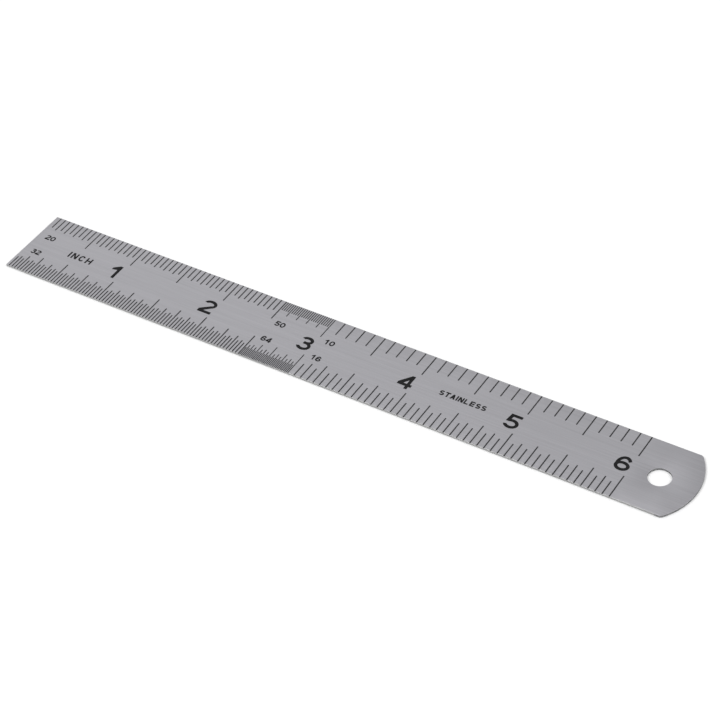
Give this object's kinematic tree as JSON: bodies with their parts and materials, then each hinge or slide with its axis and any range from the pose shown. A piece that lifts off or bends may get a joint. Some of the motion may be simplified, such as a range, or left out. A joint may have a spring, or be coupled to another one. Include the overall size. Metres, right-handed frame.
{
  "type": "steel ruler",
  "caption": "Flat spring-steel ruler with a square zero end, a rounded end with a hang hole, and etched, enamel-filled inch scales along both long edges.",
  "frame": {"origin": "middle of the blade's footprint, on the reverse face that the ruler lies on", "axes": "+X along the blade from the square zero end to the rounded end with the hang hole, +Y to the upper graduated edge, +Z out of the reading face"},
  "size_m": [0.167, 0.019, 0.0005],
  "materials": {
    "spring_steel": "satin, lengthwise brushed",
    "mark_enamel": "baked black enamel, flush in the etched marks"
  },
  "bodies": {
    "root": {"blade": "spring_steel", "division_number_10": "mark_enamel", "division_number_16": "mark_enamel", "division_number_20": "mark_enamel", "division_number_32": "mark_enamel", "division_number_50": "mark_enamel", "division_number_64": "mark_enamel", "fiftieths_scale": "mark_enamel", "half_millimetre_scale": "mark_enamel", "inch_numeral_1": "mark_enamel", "inch_numeral_2": "mark_enamel", "inch_numeral_3": "mark_enamel", "inch_numeral_4": "mark_enamel", "inch_numeral_5": "mark_enamel", "inch_numeral_6": "mark_enamel", "metric_unit_word": "mark_enamel", "millimetre_numeral_10": "mark_enamel", "millimetre_numeral_100": "mark_enamel", "millimetre_numeral_110": "mark_enamel", "millimetre_numeral_120": "mark_enamel", "millimetre_numeral_130": "mark_enamel", "millimetre_numeral_140": "mark_enamel", "millimetre_numeral_150": "mark_enamel", "millimetre_numeral_20": "mark_enamel", "millimetre_numeral_30": "mark_enamel", "millimetre_numeral_40": "mark_enamel", "millimetre_numeral_50": "mark_enamel", "millimetre_numeral_60": "mark_enamel", "millimetre_numeral_70": "mark_enamel", "millimetre_numeral_80": "mark_enamel", "millimetre_numeral_90": "mark_enamel", "millimetre_scale": "mark_enamel", "sixteenths_scale": "mark_enamel", "sixty_fourths_scale": "mark_enamel", "steel_word": "mark_enamel", "tenths_scale": "mark_enamel", "thirty_seconds_scale": "mark_enamel", "twentieths_scale": "mark_enamel", "unit_word": "mark_enamel"}
  },
  "joints": []
}
